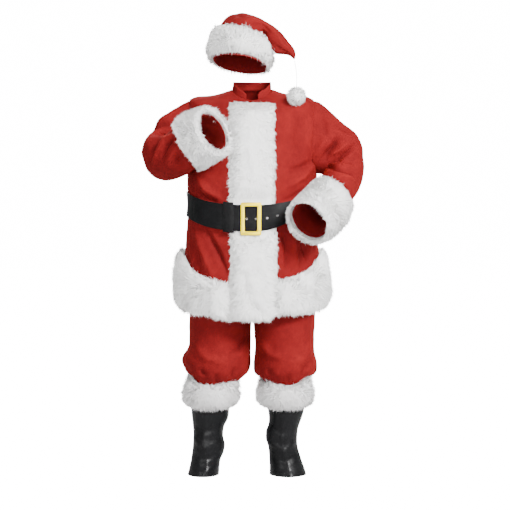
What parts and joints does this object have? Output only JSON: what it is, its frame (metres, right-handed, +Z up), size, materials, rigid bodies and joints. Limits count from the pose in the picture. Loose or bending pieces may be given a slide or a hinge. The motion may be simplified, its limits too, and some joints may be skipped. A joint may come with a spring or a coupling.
{
  "type": "santa suit",
  "caption": "Plush santa suit as worn: fur-trimmed jacket, belt with buckle, trousers, hat with cord and pompom, and boot tops.",
  "frame": {"origin": "the middle of the jacket's neck opening, where the wearer carries the suit", "axes": "+Z up, the wearer faces -Y, +X is the wearer's left"},
  "size_m": [0.8363, 0.5928, 1.7477],
  "materials": {
    "red_plush": "red velour plush with a soft sheen",
    "white_fur": "white long-pile fake fur",
    "black_vinyl": "black grained vinyl, half gloss",
    "gold_metal": "polished gold-coloured plate",
    "silver_metal": "plated eyelets"
  },
  "bodies": {
    "root": {"belt_buckle": "gold_metal", "belt_eyelet_1": "silver_metal", "belt_eyelet_2": "silver_metal", "belt_eyelet_3": "silver_metal", "belt_eyelet_4": "silver_metal", "belt_eyelet_5": "silver_metal", "belt_keeper": "black_vinyl", "belt_strap": "black_vinyl", "boot_top_left": "black_vinyl", "boot_top_right": "black_vinyl", "hat_cord": "white_fur", "hat_crown": "red_plush", "hat_fur_band": "white_fur", "hat_pompom": "white_fur", "jacket_back": "red_plush", "jacket_cuff_fur_left": "white_fur", "jacket_cuff_fur_right": "white_fur", "jacket_front_fur_band": "white_fur", "jacket_front_left": "red_plush", "jacket_front_right": "red_plush", "jacket_hem_fur": "white_fur", "jacket_neckband": "red_plush", "jacket_sleeve_left": "red_plush", "jacket_sleeve_right": "red_plush", "trousers_back_left": "red_plush", "trousers_back_right": "red_plush", "trousers_cuff_fur_left": "white_fur", "trousers_cuff_fur_right": "white_fur", "trousers_front_left": "red_plush", "trousers_front_right": "red_plush", "trousers_waistband": "red_plush"}
  },
  "joints": []
}
